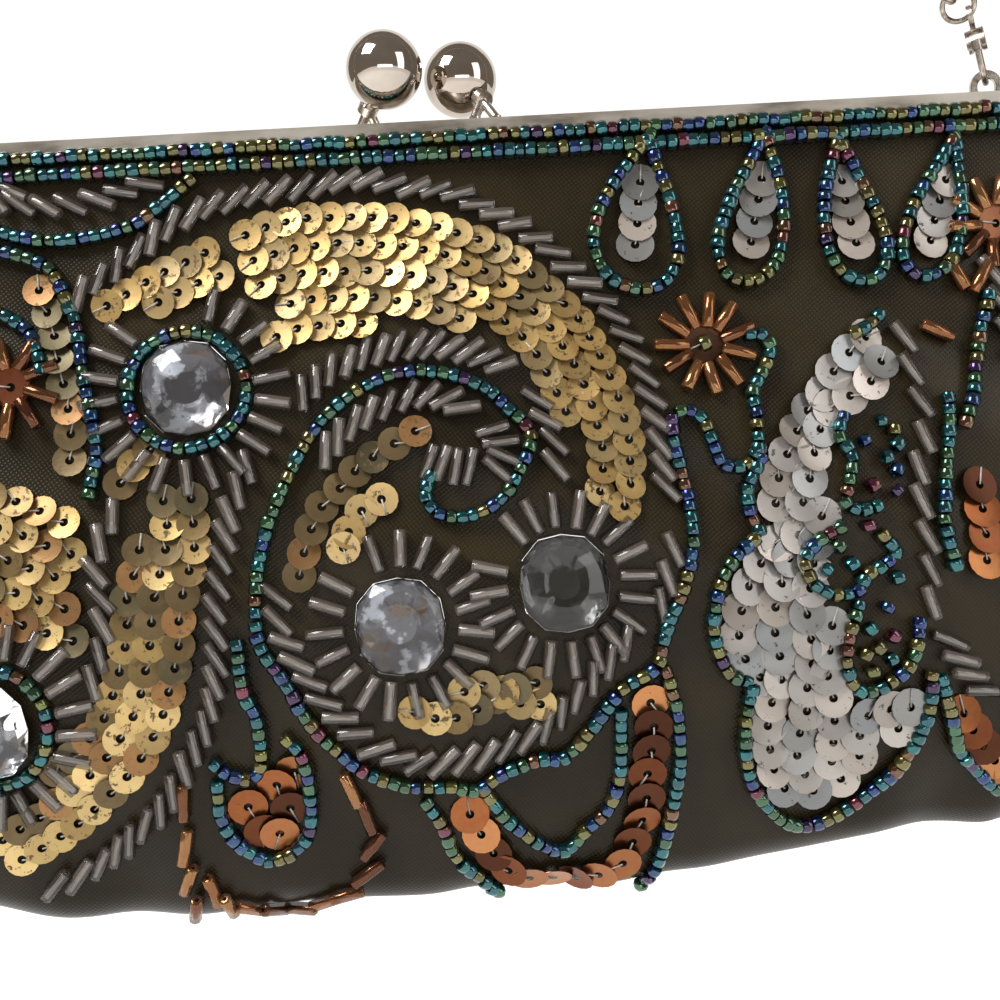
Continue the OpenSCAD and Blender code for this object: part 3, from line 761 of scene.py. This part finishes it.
smoke_rows = [
    ([(-56, 25), (-51, 21.5), (-45.5, 17.8), (-40.5, 14.6), (-35, 12.3), (-29, 10.9), (-20, 10),
      (-11, 9.5), (-3, 11), (4, 12.5), (10, 16), (16, 20), (21, 25), (26, 31), (29.5, 37), (31.5, 43),
      (33, 50), (33.5, 57), (33.5, 64)], 37),
    ([(-22, 43), (-17, 39.5), (-10, 37), (-2, 36.3), (6, 38.5), (11.5, 42)], 50),
    ([(14.6, 46), (16, 50.5), (16.7, 55), (16.2, 59)], 36),
    ([(-19, 52), (-14, 48), (-7, 45), (-1, 45), (4, 48)], 45),
    ([(7, 50.5), (8.5, 54), (7, 58)], 75),
    ([(-28, 74), (-27.5, 79), (-25, 84), (-21.5, 90), (-16, 96)], 38),
    ([(-14, 98), (-8, 100.5), (-1, 101), (6, 99.5), (12, 97), (17, 92.5), (23, 87), (28, 82.5)], 38),
    ([(31.5, 79), (33.5, 73), (34, 68)], 30),
    ([(-31, 54), (-34, 60), (-36, 68), (-37, 76), (-37.5, 84), (-40, 92), (-43.5, 99), (-48, 105),
      (-54, 110)], 36),
    ([(-56, 112), (-61, 115), (-67, 117.5)], 36),
    ([(-52, 60), (-55, 66), (-54, 73), (-55, 80), (-57, 86)], 30),
    ([(-45, 8), (-52, 10), (-59, 11), (-66, 10), (-74, 7.5), (-82, 7)], -32),
    ([(-66, 8), (-75, 9)], -30),
    ([(-3, 54.5), (0.5, 55.5), (4, 56)], 85),
    ([(74, 40), (75, 48), (76, 55), (74, 62), (74, 69), (74.5, 77), (74, 84)], 24),
    ([(77, 88), (80, 94), (84, 99)], 40),
    ([(-88, 60), (-92, 66), (-91, 74), (-88, 80)], 30),
    ([(90, 30), (92, 40), (96, 48), (94, 58), (91, 66), (94, 76)], 26)]
smoke = []
for points, slant in smoke_rows:
    smoke += slanted(points, slant)
ROUND_STONE, ROUND_BEADS = 8.7, 10.6
smoke += rays(*STONE_AT["sew_on_stone_1"], ROUND_BEADS, 22, start=0.1, skip=(5, 6, 7))
smoke += rays(*STONE_AT["sew_on_stone_2"], ROUND_STONE, 19, start=0.2, skip=(6,))
smoke += rays(*STONE_AT["sew_on_stone_3"], ROUND_STONE, 20, start=0.05, skip=(8,))
smoke += rays(*STONE_AT["sew_on_stone_4"], ROUND_BEADS, 22, start=0.15)
follow_hinge(sew("smoke_bugles", bugle, smoke, smoke_glass, silver_hole))

# copper bugles one by one: the spray at the hem's left, then a few loose ones at the right
SPRAY = [(-44.5, 104, 88), (-45, 111, 70), (-45, 116.5, 65), (-42, 119, 100), (-45, 121.5, 75),
         (-40, 122, 92), (-36.5, 123.5, 125), (-33, 124.5, 115), (-29, 125, 20), (-25, 124, 35),
         (-21, 122.5, 15), (-17.5, 119, 40), (-16, 114, 60), (-16.5, 109, 100), (-18.5, 104.5, 110)]
LOOSE = [(80, 39, 150), (84, 30, 110), (88, 31, 60)]
copper = [bugle_at(x, t, math.radians(turn), COPPER) for x, t, turn in SPRAY]
copper += rays(*ROSETTE, 2.8, 11, COPPER, start=0.25, long=0.95)
copper += rays(*LEFT_ROSETTE, 2.5, 9, COPPER, start=0.4, long=0.9)
copper += rays(*RIGHT_ROSETTE, 2.8, 10, COPPER, start=0.1, long=0.9)
copper += [bugle_at(x, t, math.radians(turn), COPPER) for x, t, turn in LOOSE]
follow_hinge(sew("copper_bugles", bugle, copper, copper_glass, copper_hole))

# ---------------------------------------------------------------- sequins
# Cupped discs punched from metallised film: gold 5.3 mm ones in scale-like rows, 6.2 mm white and
# copper ones. The foil is chipped, and a stitch of thread holds each through its hole.
gold_foil = tinted("gold_foil", 0.01, (760, 0.4, (0.17, 0.11, 0.05), 0.6), Metallic=0.62, Roughness=0.42)
white_foil = tinted("white_foil", 0.004, (620, 0.36, (0.10, 0.09, 0.08), 0.6), Metallic=0.45, Roughness=0.32,
                    Coat_Weight=0.4, Coat_Roughness=0.2)
copper_foil = tinted("copper_foil", 0.008, (500, 0.3, (0.10, 0.035, 0.018), 0.5), Metallic=0.9, Roughness=0.3)
thread = mottled("white_thread", [(0.35, (0.42, 0.39, 0.35)), (0.65, (0.78, 0.75, 0.70))],
                 scale=3000, rough=(0.5, 0.7), bump=0.3)
SMALL_RADIUS, LARGE_RADIUS = 2.65, 3.1
SEQUIN_HOLE = 0.7
SEQUIN_LIFT = 0.75
THREAD_RADIUS = 0.14


def disc(radius):
    """A cupped sequin with a real thickness."""
    return turned([(0.0, SEQUIN_HOLE), (0.02, radius * 0.7), (0.12, radius), (0.02, radius),
                   (-0.1, SEQUIN_HOLE)], 16, "Z")


def stitch(radius):
    """A thread that comes up through the hole and goes over the sequin's edge."""
    bm = bmesh.new()
    made = bmesh.ops.create_cone(bm, cap_ends=True, segments=5, radius1=THREAD_RADIUS,
                                 radius2=THREAD_RADIUS, depth=radius - 0.1)
    bmesh.ops.rotate(bm, verts=made["verts"], cent=(0, 0, 0), matrix=Matrix.Rotation(math.pi / 2, 3, "Y"))
    bmesh.ops.translate(bm, verts=made["verts"], vec=(-radius / 2, 0, THREAD_RADIUS))
    return bm


small_sequin = pattern("small_sequin", disc(SMALL_RADIUS), stitch(SMALL_RADIUS))
large_sequin = pattern("large_sequin", disc(LARGE_RADIUS), stitch(LARGE_RADIUS))
GOLD = [(0.60, 0.40, 0.15), (0.50, 0.34, 0.13), (0.42, 0.30, 0.13), (0.68, 0.49, 0.22), (0.34, 0.25, 0.12),
        (0.55, 0.37, 0.14)]
# painted light and shade: bright and nearly black copies of one gold foil, standing for how much light each
# tilted sequin reflects
GOLD_LIT_AND_SHADED = [(0.62, 0.44, 0.18), (0.22, 0.15, 0.06), (0.17, 0.12, 0.055), (0.34, 0.18, 0.07),
             (0.74, 0.54, 0.24), (0.14, 0.115, 0.06), (0.50, 0.34, 0.13)]
WHITE = [(0.48, 0.445, 0.41), (0.42, 0.395, 0.375), (0.54, 0.48, 0.43), (0.30, 0.30, 0.295),
         (0.34, 0.355, 0.36)]
RUST = [(0.30, 0.10, 0.035), (0.16, 0.05, 0.02), (0.36, 0.14, 0.055), (0.08, 0.028, 0.014),
        (0.46, 0.20, 0.08)]
chance = random.Random(23)


def sequin_at(x, t, turn, colours, tip=9.0, lean=0.0):
    """One sequin: tipped up towards the row's direction, leaned across the row, both in degrees."""
    spot = on_cloth(x + chance.uniform(-0.15, 0.15), t + chance.uniform(-0.15, 0.15),
                    SEQUIN_LIFT + chance.uniform(0, 0.2), turn, -1,
                    math.radians(tip + chance.uniform(-5, 7)), math.radians(lean + chance.uniform(-8, 8)))
    # painted light and shade: each sequin's colour is made brighter or darker at random, standing for the
    # light a tilted sequin reflects
    shade = chance.uniform(0.7, 1.2)
    spin = Matrix.Rotation(chance.uniform(-0.5, 0.5), 4, "Z")
    return spot @ spin, [min(c * shade, 1) for c in chance.choice(colours)]


def beside(points, away):
    """The same line, moved sideways to its right as it runs."""
    moved = []
    for i, (x, t) in enumerate(points):
        x0, t0 = points[max(i - 1, 0)]
        x1, t1 = points[min(i + 1, len(points) - 1)]
        run = math.hypot(x1 - x0, t1 - t0)
        moved.append((x - away * (t1 - t0) / run, t + away * (x1 - x0) / run))
    return moved


def scale_row(points, colours, pitch=3.45, start=0.0, stop=1.0, lean=0.0):
    """A row of overlapping sequins, each on top of the next, along part of a line."""
    spots = walk(points, pitch)
    spots = spots[round(start * len(spots)):round(stop * len(spots))]
    return [sequin_at(x, t, turn, colours, lean=lean) for x, t, turn in spots]


ARC = [(-30, 17), (-24, 15.5), (-17, 15), (-9, 15.5), (-1, 17), (6, 19.5), (12, 23), (17.5, 28.5), (22, 34),
       (25, 40), (27.5, 47), (28.5, 54), (28, 60), (26, 66)]
GOLD_ROW_GAP = 4.3
gold = []
for row, (start, stop) in enumerate(((0, 1), (0, 0.97), (0, 0.84), (0.04, 0.5), (0.02, 0.3))):
    gold += scale_row(beside(ARC, GOLD_ROW_GAP * row), GOLD, start=start, stop=stop, lean=-7)
gold += scale_row([(-52, 27), (-47, 24.5), (-41, 21.5), (-34.5, 19)], GOLD, lean=-4)
gold += scale_row([(-44, 27), (-39, 25), (-34, 23.5)], GOLD)
follow_hinge(sew("gold_sequins", small_sequin, gold, gold_foil, thread))

BAND = [(-40, 58), (-40, 66), (-42, 73), (-43, 80), (-45, 87), (-48, 94), (-53, 100), (-59, 105),
        (-66, 110), (-73, 114)]
# these sequins mostly take the bright and dark golds of painted light and shade above; a few take plain gold
lit_and_shaded_gold = scale_row([(-46, 50), (-50, 54), (-52, 58)], GOLD_LIT_AND_SHADED)
for away, start, stop in ((0, 0, 1), (4.2, 0, 1), (8.0, 0.1, 0.75)):
    lit_and_shaded_gold += scale_row(beside(BAND, away), GOLD_LIT_AND_SHADED, pitch=3.7, start=start, stop=stop, lean=-5)
for row in range(5):
    lit_and_shaded_gold += scale_row([(-74 + row, 56 + 4.6 * row), (-68, 56 + 4.7 * row), (-58, 61 + 4.4 * row)],
                          GOLD_LIT_AND_SHADED, pitch=3.9, lean=-6)
lit_and_shaded_gold += scale_row([(-62.5, 24), (-61, 29), (-60, 35), (-58.5, 42), (-58, 48), (-59, 53)], GOLD_LIT_AND_SHADED,
                      pitch=3.9)
lit_and_shaded_gold += scale_row([(-5, 50), (-9, 52), (-14, 55), (-18, 59), (-21, 62), (-23, 67), (-24.5, 72)],
                      GOLD_LIT_AND_SHADED, pitch=3.7)
lit_and_shaded_gold += [sequin_at(x, t, 2.2, GOLD) for x, t in ((-14, 61.5), (-16, 64.5), (-17, 67), (-11, 60))]
lit_and_shaded_gold += scale_row([(-8, 93), (-3, 94.5), (3, 92.5), (9, 90), (14, 89.5)], GOLD_LIT_AND_SHADED, pitch=3.4)
lit_and_shaded_gold += scale_row([(0, 90.5), (4, 89.5), (9, 93), (12, 93)], GOLD, pitch=3.3)
lit_and_shaded_gold += scale_row([(-96, 60), (-100, 70), (-98, 80), (-94, 88), (-92, 98)], GOLD_LIT_AND_SHADED, pitch=3.7)
lit_and_shaded_gold += scale_row([(-92, 62), (-95, 72), (-92, 82)], GOLD_LIT_AND_SHADED, pitch=3.7)
follow_hinge(sew("lit_and_shaded_gold_sequins", small_sequin, lit_and_shaded_gold, gold_foil, thread))

white = []
for x, t, long, wide, lean, swing in LEAVES:
    mid = [(x + u * math.sin(lean) + swing * 0.6 * (u / long) ** 2, t - u * math.cos(lean))
           for u in (long * 0.2, 0.02 * long, -0.15 * long, -0.33 * long)]
    white += scale_row(mid, WHITE, pitch=3.5)
for points in ([(68, 39.5), (63, 43.5), (60.5, 47.5), (57, 51), (54.5, 55), (52.5, 59), (51, 63), (50.5, 68)],
               [(70, 43.5), (67.5, 47), (61, 50.5), (58.5, 54.5), (57, 59), (56, 63), (54, 67), (50, 72)],
               [(50, 71), (46, 75.5), (44, 80), (43.5, 85), (44.5, 89), (48, 93)],
               [(54, 70), (51, 76), (49, 81), (49, 86), (50, 91), (48, 96), (47.5, 101), (48, 106),
                (50, 111)],
               [(58, 67), (55, 78), (54, 83), (55, 88), (54, 93), (53.5, 98), (52, 103), (53, 108),
                (55.5, 113.5)],
               [(58, 84), (57, 91), (58, 97), (58, 103), (58, 108), (60, 112)],
               [(67, 98), (63, 99), (62, 104), (63, 108.5)], [(70, 98), (67.5, 103)]):
    white += scale_row(points, WHITE, pitch=3.9, lean=-5)
follow_hinge(sew("white_sequins", large_sequin, white, white_foil, thread))

rust = scale_row([(-0.5, 110), (2, 115), (4.5, 119.5), (8, 122), (13, 123), (18, 122.5), (23, 120.5),
                  (25.5, 116.5), (27.5, 111), (28, 105), (29, 98), (28.5, 92.5)], RUST, pitch=3.9)
BUD = [(-35, 106), (-30, 103), (-27, 101), (-33, 110), (-28.5, 107), (-30.5, 111)]
rust += [sequin_at(x, t, 1.5, RUST) for x, t in BUD]
rust += scale_row([(84, 64), (84, 69), (84, 74), (83, 79)], RUST, pitch=3.9)
rust += scale_row([(79, 100), (81.5, 105), (85, 111), (89, 115)], RUST, pitch=3.9)
for middle, colour in ((ROSETTE, (0.10, 0.05, 0.03)), (LEFT_ROSETTE, (0.3, 0.1, 0.05)),
                       (RIGHT_ROSETTE, (0.2, 0.08, 0.04))):
    rust.append(sequin_at(*middle, 0.3, [colour], tip=0))
follow_hinge(sew("copper_sequins", large_sequin, rust, copper_foil, thread))

# ---------------------------------------------------------------- stones
# Sew-on acrylic stones, 14 by 15.2 mm: a rounded square with a flat table and facets all round,
# silvered at the back. The foil has partly flaked off.
STONE_WIDE, STONE_HIGH = 14.0, 15.2
STONE_CORNERS = 12
HALF_FACET = math.pi / STONE_CORNERS
CULET, GIRDLE_LOW, GIRDLE_TOP, CROWN, TABLE = 0.15, 1.2, 1.8, 2.9, 3.8
# stones above this depth have their placement baked, as the front cloth does; deeper ones are attached to the
# bag
REACH_OF_BEND = 60
clear_acrylic = mottled("clear_acrylic", [(0.2, (0.86, 0.88, 0.90)), (0.8, (0.98, 0.98, 0.99))],
                        scale=300, rough=(0.01, 0.04), bump=0.03, Transmission_Weight=1.0, IOR=1.49)


def foil_of_stone(name, flaked, dull, bright):
    """Silvering behind the acrylic: bright patches, grey where it is rubbed and bare where it flaked."""
    material, shader = principled(name, Metallic=0.6)
    spots = add(material, "ShaderNodeTexCoord")
    flakes = add(material, "ShaderNodeTexNoise", Scale=190, Detail=5, Roughness=0.6)
    tone = ramp(material, (0.40, flaked), (0.43, dull), (0.53, dull), (0.58, bright))
    gloss = add(material, "ShaderNodeMapRange", To_Min=0.5, To_Max=0.15)
    join(material, (spots, "Object"), (flakes, "Vector"), (flakes, "Fac"), (tone, "Fac"),
         (flakes, "Fac"), (gloss, "Value"), (tone, "Color"), (shader, "Base Color"),
         (gloss, "Result"), (shader, "Roughness"))
    return material


def rounded_square(bm, scale, z):
    """A ring of points on a rounded square at a height, joined by edges."""
    squareness = 2.5
    made = bmesh.ops.create_circle(bm, segments=STONE_CORNERS, radius=1)
    for v in made["verts"]:
        a = math.atan2(v.co.y, v.co.x)
        r = (abs(math.cos(a)) ** squareness + abs(math.sin(a)) ** squareness) ** (-1 / squareness)
        v.co = Vector((STONE_WIDE / 2 * scale * r * math.cos(a), STONE_HIGH / 2 * scale * r * math.sin(a), z))
    return [e for e in bm.edges if all(w in made["verts"] for w in e.verts)]


def cut_stone():
    """The acrylic: pavilion, girdle and two tiers of crown facets under a flat table."""
    bm = bmesh.new()
    rings = [rounded_square(bm, k, z) for k, z in ((0.36, CULET), (0.96, GIRDLE_LOW), (1.0, GIRDLE_TOP),
                                                   (0.82, CROWN), (0.5, TABLE))]
    for v in bm.verts:
        if abs(v.co.z - CROWN) < 0.1:
            v.co = Matrix.Rotation(HALF_FACET, 3, "Z") @ v.co
    for low, high in zip(rings, rings[1:]):
        bmesh.ops.bridge_loops(bm, edges=low + high)
    bmesh.ops.edgeloop_fill(bm, edges=rings[0])
    bmesh.ops.edgeloop_fill(bm, edges=rings[-1])
    bmesh.ops.triangulate(bm, faces=[f for f in bm.faces
                                     if GIRDLE_TOP < f.calc_center_median().z < TABLE - 0.1])
    bmesh.ops.recalc_face_normals(bm, faces=bm.faces)
    return bm


def backing():
    """The silvering: a shallow faceted cone under the acrylic."""
    bm = bmesh.new()
    rim = rounded_square(bm, 0.92, 1.1)
    made = bmesh.ops.extrude_edge_only(bm, edges=rim)
    inner = [g for g in made["geom"] if isinstance(g, bmesh.types.BMVert)]
    for v in inner:
        v.co = Matrix.Rotation(HALF_FACET, 3, "Z") @ Vector((v.co.x * 0.36, v.co.y * 0.36, 0.1))
    bmesh.ops.edgeloop_fill(bm, edges=[g for g in made["geom"] if isinstance(g, bmesh.types.BMEdge)])
    bmesh.ops.triangulate(bm, faces=bm.faces)
    bmesh.ops.recalc_face_normals(bm, faces=bm.faces)
    if sum(f.normal.z for f in bm.faces) < 0:
        bmesh.ops.reverse_faces(bm, faces=bm.faces)
    return bm


BARE, RUBBED, SILVER = (0.13, 0.085, 0.055), (0.12, 0.115, 0.125), (0.50, 0.52, 0.57)
SMOKY, ASH = (0.025, 0.023, 0.02), (0.06, 0.057, 0.052)
for node in STONE_AT:
    tones = (SMOKY, SMOKY, ASH) if node == "sew_on_stone_3" else (BARE, RUBBED, SILVER)
    x, t = STONE_AT[node]
    spot = on_cloth(x, t, 0.5)
    gem = make("cut_" + node, cut_stone(), clear_acrylic, smooth=False)
    gem.data.transform(spot)
    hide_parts(node)
    foil = make("foil_of_" + node, backing(), foil_of_stone("foil_of_" + node, *tones), smooth=False)
    foil.data.transform(spot)
    for piece in (gem, foil):
        if t < REACH_OF_BEND:
            follow_hinge(piece)
        else:
            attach(piece, "bag")

# ---------------------------------------------------------------- pocket
# A slip pocket of the lining cloth, open at its top, sewn to the back lining inside.
pocket = panel("pocket_sheet", 1, top=58, low=108, inset=4.5, margin=47, thick=0.25, columns=40, rows=24)
pocket.data.materials.append(bronze_lining)
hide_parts("slip_pocket")
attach(pocket, "bag")

# ---------------------------------------------------------------- chain
# Steel lobster clasps hook into the ears on the frame. An open jump ring joins each to its side of
# the curb chain, and one larger ring at the top joins both sides. All is dull antique silver.
antique_silver = mottled("antique_silver",
                         [(0.3, (0.10, 0.08, 0.06)), (0.5, (0.36, 0.31, 0.26)), (0.7, (0.66, 0.60, 0.53))],
                         scale=620, rough=(0.2, 0.42), bump=0.15, Metallic=1.0)
dress(antique_silver, *[f"{hand}_{part}" for hand in ("left", "right")
                        for part in ("clasp_body", "clasp_gate", "jump_ring", "chain")], "chain_top_ring")
spring_steel = mottled("spring_steel", [(0.3, (0.30, 0.29, 0.28)), (0.7, (0.55, 0.54, 0.53))],
                       scale=800, rough=(0.25, 0.4), bump=0.05, Metallic=1.0)
dress(spring_steel, *[f"{hand}_{part}" for hand in ("left", "right") for part in ("gate_pin", "gate_spring")])
